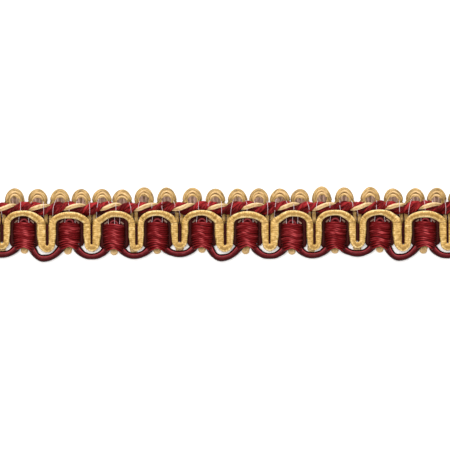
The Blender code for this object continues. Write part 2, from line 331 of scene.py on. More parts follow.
class BraidSizes(bpy.types.PropertyGroup):
    """Sizes of the yarns."""

    wrap_pitch: length_setting("Wrap Pitch", "From one turn of a cord's covering thread to the next", 0.00021)
    front_pitch: length_setting("Front Pitch", "From one turn to the next on the front cord", 0.00034)
    wrap_depth: length_setting("Wrap Depth", "Depth of the groove between two turns", 0.000022, 6)
    winding_turns: count_setting("Winding Turns", "Turns of yarn on one block", 14)
    winding_yarn: length_setting("Winding Yarn", "Half the thickness of the blocks' yarn", 0.00018)
    ply_yarns: count_setting("Yarns in a Ply", "Yarns twisted into one burgundy ply of the rope", 4)
    ply_lay: length_setting("Ply Lay", "Length of one turn of a yarn round its ply", 0.0042)
    wander: amount_setting("Wander", "Stray of a strand, as a share of its thickness", 0.12, subtype="FACTOR")
    thread_half: length_setting("Stitching Thread", "Half the thickness of the pale thread", 0.000034, 6)
    seed: count_setting("Seed", "Start of every chance value", 7)


class BraidColours(bpy.types.PropertyGroup):
    """Base colours of the yarns."""

    gold_cord: colour_setting("Gold Cord", "Front cord", (0.80, 0.51, 0.165))
    gold_loops: colour_setting("Gold Loops", "Strands of the looped edge", (0.53, 0.325, 0.100))
    gold_ply: colour_setting("Gold Ply", "Gold ply of the rope", (0.66, 0.45, 0.22))
    burgundy_cord: colour_setting("Burgundy Cord", "Scalloped cord", (0.120, 0.0066, 0.010))
    # Painted shade in the hollow of each loop and at the upper corners of the blocks
    loop_shade: colour_setting("Loop Shade", "Hollow of each loop", (0.27, 0.165, 0.125))
    burgundy_winding: colour_setting("Burgundy Winding", "Yarn of the blocks", (0.170, 0.006, 0.008))
    burgundy_ply: colour_setting("Burgundy Ply", "Burgundy plies of the rope", (0.110, 0.005, 0.006))
    thread: colour_setting("Thread", "Pale stitching thread", (0.80, 0.64, 0.70))
    binding: colour_setting("Binding", "Ties round the front cord", (0.36, 0.21, 0.07))
    # Painted shade: near-black threads in the gaps behind the rope and round the blocks
    ground: colour_setting("Ground", "Threads behind the rope", (0.05, 0.006, 0.005))
    floor: colour_setting("Floor", "Floor that the braid lies on", (0.9, 0.9, 0.9))


class BraidStage(bpy.types.PropertyGroup):
    """Camera and light."""

    camera_lens: amount_setting("Lens", "Focal length in millimetres", 500.0)
    camera_height: length_setting("Camera Height", "Camera above the floor", 1.0605, 4)
    side_light: amount_setting("Side Light", "Power of the long light above the braid", 4.6, unit="POWER")
    key_light: amount_setting("Key Light", "Power of the large light", 12.5, unit="POWER")
    glow: amount_setting("Floor Glow", "Light that the floor gives off, as on a light table", 0.22)
    sky: amount_setting("Surround", "Brightness of the pale surround", 0.26)


# Node trees


class Field:
    """One output of a node. A sum that is written on it adds a node, so that a tree reads as formulas."""

    def __init__(self, steps, socket):
        self.steps = steps
        self.socket = socket
        self.is_vector = socket.type in ("VECTOR", "RGBA")

    def __add__(self, other):
        return self.steps.sum("ADD", self, other)

    def __radd__(self, other):
        return self.steps.sum("ADD", other, self)

    def __sub__(self, other):
        return self.steps.sum("SUBTRACT", self, other)

    def __rsub__(self, other):
        return self.steps.sum("SUBTRACT", other, self)

    def __mul__(self, other):
        return self.steps.sum("MULTIPLY", self, other)

    def __truediv__(self, other):
        return self.steps.sum("DIVIDE", self, other)

    def __rtruediv__(self, other):
        return self.steps.sum("DIVIDE", other, self)

    def __pow__(self, exponent):
        return self.steps.math("POWER", self, exponent)

    def __neg__(self):
        return self * -1.0

    def __abs__(self):
        return self.steps.math("ABSOLUTE", self)

    def sine(self):
        """Sine of an angle."""
        return self.steps.math("SINE", self)

    def cosine(self):
        """Cosine of an angle."""
        return self.steps.math("COSINE", self)

    def hump(self):
        """A bell that is 1 at 0 and falls off to both sides."""
        return self.steps.math("EXPONENT", -(self * self))


class Steps:
    """Adds nodes to one tree and joins their sockets."""

    def __init__(self, tree):
        self.tree = tree

    def put(self, value, socket):
        """Join a field to the socket, or give the socket a fixed value."""
        if isinstance(value, Field):
            self.tree.links.new(value.socket, socket)
        else:
            socket.default_value = value

    def node(self, kind, inputs=None, **settings):
        """Add a node, set it up and fill its inputs."""
        node = self.tree.nodes.new(kind)
        for name, value in settings.items():
            setattr(node, name, value)
        for key, value in (inputs or {}).items():
            self.put(value, node.inputs[key])
        return node

    def add(self, kind, inputs=None, output=0, **settings):
        """Add a node and give back one of its outputs."""
        return Field(self, self.node(kind, inputs, **settings).outputs[output])

    def math(self, operation, *values, clamp=False):
        """One sum on numbers."""
        return self.add("ShaderNodeMath", dict(enumerate(values)), operation=operation, use_clamp=clamp)

    def sum(self, operation, first, second):
        """One sum on two numbers, on two vectors, or on a vector and a factor."""
        vectors = [getattr(value, "is_vector", isinstance(value, tuple)) for value in (first, second)]
        if not any(vectors):
            return self.math(operation, first, second)
        if all(vectors):
            return self.add("ShaderNodeVectorMath", {0: first, 1: second}, operation=operation)
        return self.add("ShaderNodeVectorMath", {0: first, "Scale": second}, operation="SCALE")

    def combined(self, x, y, z):
        """A vector from its three parts."""
        return self.add("ShaderNodeCombineXYZ", {0: x, 1: y, 2: z})

    def parts(self, vector):
        """The three parts of a vector."""
        node = self.node("ShaderNodeSeparateXYZ", {0: vector})
        return [Field(self, output) for output in node.outputs]

    def mixed(self, share, first, second):
        """A colour between two colours."""
        return self.add("ShaderNodeMix", {"Factor": share, 6: first, 7: second}, 2, data_type="RGBA")

    def noise(self, output, dimensions="3D", **inputs):
        """Smooth noise. Its inputs are named by the words of their labels."""
        return self.add("ShaderNodeTexNoise", inputs, output, noise_dimensions=dimensions)

    def graph(self, share, points):
        """A number read from a smooth graph through points."""
        field = self.add("ShaderNodeFloatCurve", {"Value": share})
        mapping = field.socket.node.mapping
        for number, point in enumerate(points):
            if number < 2:
                mapping.curves[0].points[number].location = point
            else:
                mapping.curves[0].points.new(*point)
        mapping.update()
        return field

    def captured(self, geometry, **fields):
        """Keep fields on the points, and give back the geometry and the kept fields."""
        node = self.node("GeometryNodeCaptureAttribute", {"Geometry": geometry}, domain="POINT")
        for name, field in fields.items():
            node.capture_items.new("VECTOR" if field.is_vector else "FLOAT", name)
            self.put(field, node.inputs[name])
        return [Field(self, node.outputs[name]) for name in ("Geometry", *fields)]

    def stored(self, geometry, **fields):
        """Store fields on the points, each under its own name."""
        for name, field in fields.items():
            geometry = self.add(
                "GeometryNodeStoreNamedAttribute",
                {"Geometry": geometry, "Name": name, "Value": field},
                data_type="FLOAT_VECTOR" if field.is_vector else "FLOAT",
                domain="POINT",
            )
        return geometry


SOCKET_KINDS = {
    float: "NodeSocketFloat",
    int: "NodeSocketInt",
    tuple: "NodeSocketColor",
    bpy.types.Mesh: "NodeSocketGeometry",
    bpy.types.Material: "NodeSocketMaterial",
}


def new_tree(name, kind, inputs, output, output_kind):
    """Make a node tree with one output and named inputs, each with its default or, without one, its type."""
    tree = bpy.data.node_groups.new(name, kind)
    for label, default in inputs.items():
        socket_kind = SOCKET_KINDS.get(default) or SOCKET_KINDS[type(default)]
        socket = tree.interface.new_socket(label, in_out="INPUT", socket_type=socket_kind)
        if default not in SOCKET_KINDS:
            socket.default_value = default
    tree.interface.new_socket(output, in_out="OUTPUT", socket_type=output_kind)
    steps = Steps(tree)
    given = {socket.name: Field(steps, socket) for socket in steps.node("NodeGroupInput").outputs}
    return steps, given, steps.node("NodeGroupOutput").inputs[output]


def swept_section(steps, curve, sides, flatness, size):
    """Sweep a round or flattened section along curves, keeping how far around it each point is."""
    circle = steps.add("GeometryNodeCurvePrimitiveCircle", {"Resolution": sides, "Radius": 1.0})
    pressed = steps.combined(1.0, flatness, 1.0)
    circle = steps.add("GeometryNodeTransform", {"Geometry": circle, "Scale": pressed})
    circle, around = steps.captured(circle, around=steps.add("GeometryNodeSplineParameter"))
    inputs = {"Curve": curve, "Profile Curve": circle, "Scale": size, "Fill Caps": True}
    return steps.add("GeometryNodeCurveToMesh", inputs), around


def chance_field(steps, number, seed):
    """A chance value from 0 to 1 for each number."""
    return steps.add("FunctionNodeRandomValue", {"ID": number, "Seed": seed}, 1, data_type="FLOAT")


def finish_yarn(steps, mesh, around, along, twist, ridge, strand, material, result):
    """Store what the yarn's material reads, and end the tree."""
    angle = (around + along * twist) * TURN
    fibre = steps.combined(angle.cosine(), angle.sine(), along * (1 / MM))
    mesh = steps.stored(mesh, fibre=fibre, ridge=ridge, strand=strand)
    mesh = steps.add("GeometryNodeSetShadeSmooth", {"Geometry": mesh})
    mesh = steps.add("GeometryNodeRealizeInstances", {"Geometry": mesh})
    mesh = steps.add("GeometryNodeSetMaterial", {"Geometry": mesh, "Material": material})
    steps.put(mesh, result)
    return steps.tree


@cache
def cord_tree():
    """Curves become cords: one or more strands, each with a wrapped or plain surface."""
    inputs = {
        "Geometry": bpy.types.Mesh,
        "Step": 0.0001,
        "Sides": 10,
        "Flatness": 1.0,
        "Wrap Pitch": 0.0,
        "Wrap Depth": 0.0,
        "Wrap Slant": 0,
        "Strands": 1,
        "Strand Circle": 0.0,
        "Strand Lay": 0.0,
        "Fibre Twist": 0.0,
        "Wander": 0.0,
        "Wander Scale": 300.0,
        "Seed": 0,
        "Material": bpy.types.Material,
    }
    steps, given, result = new_tree("cord", "GeometryNodeTree", inputs, "Geometry", "NodeSocketGeometry")
    strand_shift = 5.3
    groove_narrowness = 0.6
    smallest_pitch = 1e-7
    curve = steps.add("GeometryNodeMeshToCurve", {"Mesh": given["Geometry"]})
    curve = steps.add("GeometryNodeResampleCurve", {"Curve": curve, "Length": given["Step"]}, mode="LENGTH")
    curve = steps.add("GeometryNodeSetCurveNormal", {"Curve": curve}, mode="Z_UP")
    copies = {"Geometry": curve, "Amount": given["Strands"]}
    copies = steps.node("GeometryNodeDuplicateElements", copies, domain="SPLINE").outputs
    path = steps.add("GeometryNodeInputNamedAttribute", {"Name": "path"}, "Attribute", data_type="FLOAT")
    half = steps.add("GeometryNodeInputNamedAttribute", {"Name": "half"}, "Attribute", data_type="FLOAT")
    number = Field(steps, copies["Duplicate Index"]) + path * given["Strands"]
    curve, number, half = steps.captured(Field(steps, copies["Geometry"]), number=number, half=half)

    length = steps.add("GeometryNodeSplineParameter", output="Length")
    angle = (length / given["Strand Lay"] + number / given["Strands"]) * TURN
    normal = steps.add("GeometryNodeInputNormal")
    tangent = steps.add("GeometryNodeInputTangent")
    side = steps.add("ShaderNodeVectorMath", {0: tangent, 1: normal}, operation="CROSS_PRODUCT")
    outward = normal * (angle.cosine() * given["Flatness"]) + side * angle.sine()
    stray = steps.noise(
        "Color",
        "4D",
        Vector=steps.add("GeometryNodeInputPosition"),
        W=number * strand_shift + given["Seed"],
        Scale=given["Wander Scale"],
        Detail=1.0,
    )
    stray = (stray - (0.5, 0.5, 0.5)) * (half * given["Wander"])
    offset = outward * (half * given["Strand Circle"]) + stray
    curve = steps.add("GeometryNodeSetPosition", {"Geometry": curve, "Offset": offset})
    curve, along, run = steps.captured(curve, along=length, run=abs(steps.parts(tangent)[0]))

    size = half * (1.0 - given["Strand Circle"])
    mesh, around = swept_section(steps, curve, given["Sides"], given["Flatness"], size)
    # The grooves between turns of the wrap sink in and also take the dark colour, as painted shade
    phase = along / given["Wrap Pitch"] + around * given["Wrap Slant"]
    ridge = abs((phase * math.pi).sine()) ** groove_narrowness
    plain = steps.math("LESS_THAN", given["Wrap Pitch"], smallest_pitch)
    mesh, ridge = steps.captured(mesh, ridge=steps.math("MAXIMUM", ridge, plain))
    sunk = normal * ((ridge - 1.0) * given["Wrap Depth"])
    mesh = steps.add("GeometryNodeSetPosition", {"Geometry": mesh, "Offset": sunk})
    mesh = steps.stored(mesh, run=run)
    chance = chance_field(steps, number, given["Seed"])
    twist = given["Fibre Twist"]
    return finish_yarn(steps, mesh, around, along, twist, ridge, chance, given["Material"], result)


def rounded(wave):
    """A cosine or sine with fuller corners."""
    fullness = 2 / 2.05
    return abs(wave) ** fullness * wave.steps.math("SIGN", wave)


def sagged(given, across, share):
    """How far a turn hangs down at its sides: bowed, most at both ends, and notched at the foot."""
    straighter_middle = 0.7
    notch_height = 5.0
    end_bow = 1.0 - (share * math.pi).sine() * straighter_middle
    low = (1.0 - share) ** notch_height
    return -(across * across * (given["Bow"] * end_bow) + abs(across) * (given["Notch"] * low))


@cache
def winding_tree():
    """One block's yarn, wound round a flat core, and the core itself. The turns get painted highlights on
    their fronts, and painted shade in the valleys between them and towards the block's sides; the core shows
    the dark colour, as painted shade between the turns.
    """
    inputs = {
        "Geometry": bpy.types.Mesh,
        "Centre X": 0.0,
        "Foot Y": -0.004,
        "Centre Z": 0.0023,
        "Height": 0.0045,
        "Half Width": 0.002,
        "Half Thickness": 0.0006,
        "Turns": 13,
        "Yarn": 0.0002,
        "Slant": 0.1,
        "Bow": 20.0,
        "Notch": 0.4,
        "Unevenness": 0.00006,
        # Painted highlight on the front of each turn: its strength, width and spread across the block; then
        # the painted shade in the valleys between turns
        "Stroke": 1.5,
        "Stroke Width": 0.22,
        "Stroke Spread": 0.6,
        "Valley": 0.35,
        "Seed": 0,
        "Material": bpy.types.Material,
    }
    steps, given, result = new_tree("winding", "GeometryNodeTree", inputs, "Geometry", "NodeSocketGeometry")
    points_per_turn = 40.0
    yarn_sides = 7
    noise_per_turn = 1.7
    end_room = 0.7
    side_shade_from = 0.45
    side_shade_rate = 1.9
    dimmest = 0.15
    painted_highlight_seed = 3
    crest_sharpness = 3.0
    core_stations = 33
    core_sides = 20
    core_ends = 32.0
    core_tip = 0.03
    core_length = 0.95
    core_start = 0.02
    core_press = 0.92

    line = steps.add("GeometryNodeCurvePrimitiveLine")
    count = given["Turns"] * points_per_turn + 1.0
    line = steps.add("GeometryNodeResampleCurve", {"Curve": line, "Count": count}, mode="COUNT")
    line, share = steps.captured(line, share=steps.add("GeometryNodeSplineParameter"))
    turn = share * given["Turns"]
    angle = turn * TURN
    rough = steps.noise("Color", "1D", W=turn * noise_per_turn + given["Seed"], Scale=1.0, Detail=0.0)
    uneven_x, uneven_z, uneven_y = steps.parts((rough - (0.5, 0.5, 0.5)) * given["Unevenness"])
    across = (steps.graph(share, TURN_WIDTHS) * given["Half Width"] + uneven_x) * rounded(angle.cosine())
    upward = (given["Half Thickness"] + uneven_z) * rounded(angle.sine())
    aside = across / given["Half Width"]
    leaning = given["Slant"] * (share * math.pi).sine()
    slanted = (aside * math.pi).sine() * given["Half Width"] * leaning
    level = share * (given["Height"] - given["Yarn"] * (2 * end_room)) + given["Yarn"] * end_room
    lengthwise = level + uneven_y + (slanted + sagged(given, across, share))
    place = steps.combined(given["Centre X"], given["Foot Y"], given["Centre Z"])
    position = place + steps.combined(across, lengthwise, upward)

    turn_number = steps.math("FLOOR", turn)
    chance = chance_field(steps, turn_number, given["Seed"])
    # Painted shade towards both sides of the block, and a painted highlight on the front of each turn, at a
    # chance place across it and of a chance brightness
    side_shade = steps.math("MULTIPLY", abs(aside) - side_shade_from, side_shade_rate, clamp=True)
    painted_highlight_place = (chance - 0.5) * given["Stroke Spread"]
    stroke = ((aside - painted_highlight_place) / given["Stroke Width"]).hump()
    stroke = stroke * steps.math("MAXIMUM", angle.sine(), 0.0)
    lit_turn = dimmest + chance_field(steps, turn_number, painted_highlight_seed) ** 2.0
    stroke = stroke * lit_turn * given["Stroke"]
    # wound is the share of the yarn's own colour left outside the painted side shade
    line, stroke, wound = steps.captured(line, stroke=stroke, wound=1.0 - side_shade)
    coil = steps.add("GeometryNodeSetPosition", {"Geometry": line, "Position": position})
    upright = {"Curve": coil, "Normal": (0.0, 1.0, 0.0)}
    coil = steps.add("GeometryNodeSetCurveNormal", upright, mode="FREE")
    along = steps.add("GeometryNodeSplineParameter", output="Length")
    coil, along, chance = steps.captured(coil, along=along, chance=chance)
    coil, around = swept_section(steps, coil, yarn_sides, 1.0, given["Yarn"])
    # The painted highlight stays on the crest of the yarn, and painted shade fills the valleys between turns
    crest = abs((around * TURN).sine()) ** crest_sharpness
    coil = steps.stored(coil, tone=stroke * crest - (1.0 - crest) * given["Valley"])

    core = steps.add("GeometryNodeCurvePrimitiveLine")
    core = steps.add("GeometryNodeResampleCurve", {"Curve": core, "Count": core_stations}, mode="COUNT")
    share = steps.add("GeometryNodeSplineParameter")
    width = steps.graph(share, CORE_WIDTHS)
    from_end = steps.math("MINIMUM", share, 1.0 - share)
    closing = steps.math("MAXIMUM", steps.math("MULTIPLY", from_end, core_ends, clamp=True), core_tip)
    size = width * closing * given["Half Width"]
    core, share, size, width = steps.captured(core, share=share, size=size, width=width)
    core_y = (share * core_length + core_start) * given["Height"]
    core_place = {"Geometry": core, "Position": place + steps.combined(0.0, core_y, 0.0)}
    core = steps.add("GeometryNodeSetPosition", core_place)
    core = steps.add("GeometryNodeSetCurveNormal", {"Curve": core}, mode="Z_UP")
    press = given["Half Thickness"] / given["Half Width"] * core_press
    core = swept_section(steps, core, core_sides, press, size)[0]
    core_parts = steps.parts(steps.add("GeometryNodeInputPosition") - place)
    thicker = core_parts[2] * (1.0 / width - 1.0)
    shift = steps.combined(0.0, sagged(given, core_parts[0], share), thicker)
    core = steps.add("GeometryNodeSetPosition", {"Geometry": core, "Offset": shift})
    # On the core the ridge comes out 0, so it shows the dark colour: painted shade between the turns
    both = steps.node("GeometryNodeJoinGeometry")
    steps.put(core, both.inputs[0])
    steps.put(coil, both.inputs[0])
    mesh = Field(steps, both.outputs[0])
    return finish_yarn(steps, mesh, around, along, 0.0, wound, chance, given["Material"], result)


# Materials


@cache
def dye_and_light_group():
    """Yarn colour: painted shade in the grooves, dye that varies along the yarn, around it and from strand to
    strand, and painted light and shade from the tone of the paths, on the sides and in a highlight line.
    """
    inputs = {
        "Groove Colour": (0.1, 0.05, 0.02, 1.0),
        "Yarn Colour": (0.6, 0.4, 0.2, 1.0),
        "Lit Colour": (0.9, 0.7, 0.4, 1.0),
        "Slub Across": 1.0,
        "Slub Along": 1.0,
        "Slub Amount": 1.0,
        "Strand Amount": 0.2,
        "Side Amount": 0.0,
        "Leg Side Amount": 0.0,
        "Side Start": 0.5,
        "Line Place": 0.5,
        "Line Amount": 0.0,
    }
    steps, given, result = new_tree("yarn_tone", "ShaderNodeTree", inputs, "Colour", "NodeSocketColor")
    strand_shift = 91.0
    line_sharpness = 6.0
    ridge, strand, tone, run = [
        steps.add("ShaderNodeAttribute", output="Fac", attribute_name=name)
        for name in ("ridge", "strand", "tone", "run")
    ]
    fibre = steps.add("ShaderNodeAttribute", output="Vector", attribute_name="fibre")
    across_x, across_y, along = steps.parts(fibre)
    place = steps.combined(
        across_x * given["Slub Across"],
        across_y * given["Slub Across"],
        along * given["Slub Along"] + strand * strand_shift,
    )
    slub = steps.noise("Fac", Vector=place, Scale=1.0, Detail=2.0, Roughness=0.6)
    # Painted highlights on a cord's sides and painted shade on its middle, the other way round for an amount
    # below 0; one amount where the cord runs along the braid, another on its legs
    side_extra = (given["Side Amount"] - given["Leg Side Amount"]) * (run * run)
    side = (abs(across_x) - given["Side Start"]) * (side_extra + given["Leg Side Amount"])
    # A painted highlight line along the yarn
    line = ((across_x - given["Line Place"]) * line_sharpness).hump() * given["Line Amount"]
    uneven = (slub - 0.5) * given["Slub Amount"] + (strand - 0.5) * given["Strand Amount"]
    # The tone from the paths is painted light and shade
    change = uneven + side + (tone + line)
    lighter = steps.math("MAXIMUM", change, 0.0, clamp=True)
    darker = steps.math("MAXIMUM", -change, 0.0, clamp=True)
    colour = steps.mixed(ridge, given["Groove Colour"], given["Yarn Colour"])
    colour = steps.mixed(lighter, colour, given["Lit Colour"])
    steps.put(steps.mixed(darker, colour, given["Groove Colour"]), result)
    return steps.tree


@cache
def fibre_group():
    """Relief of fine fibres that follow the yarn."""
    inputs = {"Across": 3.0, "Along": 0.8, "Detail": 3.0}
    steps, given, result = new_tree("fibre_relief", "ShaderNodeTree", inputs, "Height", "NodeSocketFloat")
    fibre = steps.add("ShaderNodeAttribute", output="Vector", attribute_name="fibre")
    stretched = steps.sum("MULTIPLY", fibre, steps.combined(given["Across"], given["Across"], given["Along"]))
    steps.put(steps.noise("Fac", Vector=stretched, Scale=1.0, Detail=given["Detail"]), result)
    return steps.tree


# How a yarn's colour varies, in dye and in painted light and shade. Its darkest and lightest tones are shares
# of the colour, and the lightest is also made paler; they serve both for dye and for painted shade and
# highlights.
# A slub is uneven dye, around the yarn and for each millimetre along it. The strand is the difference from
# one strand or turn to the next. The sides get painted highlights, or painted shade below 0, where a cord
# runs along the braid and on its legs. A line is one painted highlight streak along the yarn.
DyeAndPaintedLight = namedtuple(
    "DyeAndPaintedLight",
    "groove lit pale slub_across slub_along slub strand side leg_side side_start line_place line",
    defaults=(0.0, 0.0, 0.0, 0.5, 0.0, 0.0),
)
DYE_AND_PAINTED_LIGHT = {
    "gold_cord": DyeAndPaintedLight(0.40, 1.1, 0.20, 1.0, 2.4, 3.6, 0.0, 2.6, 0.3, 0.5, 0.6, 0.5),
    "gold_loops": DyeAndPaintedLight(0.22, 1.35, 0.16, 1.4, 0.9, 3.2, 0.5),
    "loop_shade": DyeAndPaintedLight(0.35, 1.7, 0.03, 2.0, 1.6, 3.0, 0.6),
    "gold_ply": DyeAndPaintedLight(0.45, 1.3, 0.12, 1.6, 2.2, 3.0, 0.0, 1.4, 1.4),
    "burgundy_cord": DyeAndPaintedLight(0.12, 3.2, 0.04, 1.0, 1.2, 0.7, 0.0, -1.1, -1.1, 0.1, -0.42, 1.3),
    "burgundy_winding": DyeAndPaintedLight(0.2, 2.5, 0.05, 0.8, 0.9, 1.6, 0.5),
    "burgundy_ply": DyeAndPaintedLight(0.20, 4.2, 0.01, 0.8, 1.1, 2.8, 0.9),
    "thread": DyeAndPaintedLight(0.8, 1.2, 0.0, 1.0, 1.0, 0.6, 0.3),
    "binding": DyeAndPaintedLight(0.45, 1.3, 0.0, 1.0, 2.0, 1.6, 0.3),
    "ground": DyeAndPaintedLight(0.35, 1.6, 0.0, 1.0, 1.0, 1.6, 0.3),
}
# A yarn's surface: how fine its fibres are across and along it, how deep they are in metres, and its gloss
Surface = namedtuple("Surface", "across along depth roughness sheen gloss")
SURFACES = {
    "gold_cord": Surface(1.6, 6.0, 0.00006, 0.45, 0.08, 0.25),
    "gold_loops": Surface(5.0, 0.6, 0.00006, 0.32, 0.08, 0.4),
    "loop_shade": Surface(5.0, 0.6, 0.00006, 0.5, 0.0, 0.1),
    "gold_ply": Surface(1.6, 6.0, 0.00005, 0.5, 0.2, 0.2),
    "burgundy_cord": Surface(1.6, 6.0, 0.00004, 0.30, 0.0, 0.06),
    "burgundy_winding": Surface(4.0, 0.6, 0.00005, 0.34, 0.0, 0.05),
    "burgundy_ply": Surface(4.0, 0.6, 0.00005, 0.32, 0.0, 0.06),
    "thread": Surface(3.0, 0.5, 0.00001, 0.3, 0.0, 0.4),
    "binding": Surface(4.0, 0.8, 0.00002, 0.5, 0.2, 0.3),
    "ground": Surface(4.0, 0.8, 0.00002, 0.6, 0.0, 0.1),
}
# How much of its red, green and blue a yarn keeps in its painted shade in the grooves, where light bounces
# between fibres, and in its darker dye
GROOVE_TINT = (1.05, 0.90, 0.60)


def tinted(colour, factor, pale=0.0):
    """A colour times a number, made paler, with full alpha."""
    return tuple(min(1.0, part * factor + pale) for part in colour) + (1.0,)


def new_material(name, settings):
    """A material, the steps that add to it, and its shader with fixed settings."""
    material = bpy.data.materials.new(name)
    material.use_nodes = True
    shader = material.node_tree.nodes["Principled BSDF"]
    for label, value in settings.items():
        shader.inputs[label].default_value = value
    return material, Steps(material.node_tree), shader.inputs


@cache
def yarn_material(name):
    """The material of one yarn, from its colour setting and its rows of both tables."""
    colour = tuple(getattr(bpy.context.scene.braid_colours, name))
    dye_and_light = DYE_AND_PAINTED_LIGHT[name]
    surface = SURFACES[name]
    settings = {
        "Roughness": surface.roughness,
        "Specular IOR Level": surface.gloss,
        "Sheen Weight": surface.sheen,
        "Sheen Roughness": 0.4,
        "Sheen Tint": tinted(colour, 1.6),
    }
    material, steps, shader = new_material(name + "_yarn", settings)
    # The dark colour serves for painted shade in the grooves and for darker dye, the light one for painted
    # highlights and paler dye
    groove = [part * share for part, share in zip(colour, GROOVE_TINT)]
    tones = {
        "Groove Colour": tinted(groove, dye_and_light.groove),
        "Yarn Colour": tinted(colour, 1.0),
        "Lit Colour": tinted(colour, dye_and_light.lit, dye_and_light.pale),
        "Slub Across": dye_and_light.slub_across,
        "Slub Along": dye_and_light.slub_along,
        "Slub Amount": dye_and_light.slub,
        "Strand Amount": dye_and_light.strand,
        "Side Amount": dye_and_light.side,
        "Leg Side Amount": dye_and_light.leg_side,
        "Side Start": dye_and_light.side_start,
        "Line Place": dye_and_light.line_place,
        "Line Amount": dye_and_light.line,
    }
    fibres = {"Across": surface.across, "Along": surface.along}
    relief = steps.add("ShaderNodeGroup", fibres, node_tree=fibre_group())
    bump = {"Distance": surface.depth, "Height": relief, "Strength": 1.0}
    steps.put(steps.add("ShaderNodeGroup", tones, node_tree=dye_and_light_group()), shader["Base Color"])
    steps.put(steps.add("ShaderNodeBump", bump), shader["Normal"])
    return material


# Making pieces

# A point of a path; its tone is painted light above 0 and painted shade below 0
Point = namedtuple("Point", "x y z half tone", defaults=(0.0,))


def path_object(name, paths):
    """A mesh of open lines, with the half thickness, tone of painted light and shade, and number of each path
    on its points.
    """
    paths = [list(path) for path in paths]
    points = [point for path in paths for point in path]
    edges = []
    start = 0
    for path in paths:
        edges += [(start + step, start + step + 1) for step in range(len(path) - 1)]
        start += len(path)
    mesh = bpy.data.meshes.new(name + "_paths")
    mesh.from_pydata([(point.x * MM, point.y * MM, point.z * MM) for point in points], edges, [])
    columns = {
        "half": [point.half * MM for point in points],
        "tone": [point.tone for point in points],
        "path": [float(number) for number, path in enumerate(paths) for _ in path],
    }
    for label, values in columns.items():
        mesh.attributes.new(label, "FLOAT", "POINT").data.foreach_set("value", values)
    return add_object(name + "_paths", mesh)


def add_object(name, data):
    """Put new data in the scene."""
    item = bpy.data.objects.new(name, data)
    bpy.context.scene.collection.objects.link(item)
    return item


def grow(name, paths, tree, yarn, settings, slot, nodes=()):
    """Run a shared tree along paths, keep its result as one plain mesh piece under the root body, and hide
    the solids that it stands for, if any are named.
    """
    source = path_object(name, paths)
    material = yarn_material(yarn)
    modifier = source.modifiers.new("grow", "NODES")
    modifier.node_group = tree
    values = dict(settings, Material=material)
    for item in tree.interface.items_tree:
        if item.in_out == "INPUT" and item.name in values:
            modifier[item.identifier] = values.pop(item.name)
    if values:
        raise RuntimeError(f"the tree {tree.name} has no inputs {sorted(values)}")
    source.update_tag()
    bpy.context.view_layer.update()
    depsgraph = bpy.context.evaluated_depsgraph_get()
    mesh = bpy.data.meshes.new_from_object(source.evaluated_get(depsgraph), depsgraph=depsgraph)
    if not mesh.polygons:
        raise RuntimeError(f"{name} came out empty")
    bpy.data.objects.remove(source)
    mesh.name = name
    mesh.materials.clear()
    mesh.materials.append(material)
    piece = add_object(name, mesh)
    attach(piece, "root")
    if nodes:
        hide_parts(*nodes)


def covering(pitch, depth, stations):
    """Settings of a cord that is covered in turns of fine thread."""
    return {
        "Step": pitch / stations,
        "Sides": 12,
        "Wrap Pitch": pitch,
        "Wrap Depth": depth,
        "Wrap Slant": 1,
        "Wander": bpy.context.scene.braid_sizes.wander,
        "Wander Scale": 900.0,
    }


def blend(low, high, share):
    """Go smoothly from low to high while share goes from 0 to 1."""
    share = min(1.0, max(0.0, share))
    return low + (high - low) * share * share * (3.0 - 2.0 * share)


def power(value, exponent):
    """Raise to a power and keep the sign."""
    return math.copysign(abs(value) ** exponent, value)


def arc(first, last, steps):
    """Values from first to last in even steps."""
    return [first + (last - first) * step / steps for step in range(steps + 1)]


def block_x(number):
    """X of a block's centre."""
    repeat, kind = divmod(number, BLOCKS_PER_REPEAT)
    return repeat * REPEAT + BLOCKS[kind].centre - LENGTH / 2


def kind_of(table, number):
    """A block's row of a table. The block before the first and the one after the last have rows too."""
    return table[number % BLOCKS_PER_REPEAT]


# Front cord


def front_point(x, y, half, tone=0.0):
    """A point of the front cord, lifted where it rides over the rope."""
    away = (ROPE_Y - y) / FRONT_SIDE
    over_rope = ROPE_Z + FRONT_RISE * math.sqrt(max(0.0, 1.0 - away * away))
    z = blend(FRONT_LEG_Z, max(FRONT_LEG_Z, over_rope), (y - FRONT_SPRING_Y) / FRONT_CLIMB)
    return Point(x, y, z, half, tone)


def front_turn(left_x, right_x, turn_y, halves, first=math.pi, last=TURN):
    """The front cord's turn between two legs, with half its thickness at the left, middle and right, and
    painted shade that is deepest at its bottom.
    """
    radius = (right_x - left_x) / 2
    centre_x = (left_x + right_x) / 2
    for angle in arc(first, last, steps=24):
        beside = halves[0] if angle < 1.5 * math.pi else halves[2]
        half = blend(beside * LEG_TAPER, halves[1], -math.sin(angle))
        x = centre_x + (radius - beside + half) * math.cos(angle)
        y = turn_y + radius + radius * math.sin(angle)
        yield front_point(x, y, half, FRONT_LEG_SHADE + (TURN_SHADE - FRONT_LEG_SHADE) * math.sin(angle) ** 2)


def front_leg(x, low_y, half, upward):
    """A leg between a turn and an arch, narrower at its foot on the side of the arch that it belongs to. It
    carries painted shade.
    """
    inward = 1 if upward else -1
    for y in arc(low_y, FRONT_SPRING_Y, steps=14)[1:-1][::inward]:
        low_half = blend(half * LEG_TAPER, half, (y - low_y) / LEG_TAPER_HEIGHT)
        yield front_point(x - inward * (half - low_half), y, low_half, FRONT_LEG_SHADE)


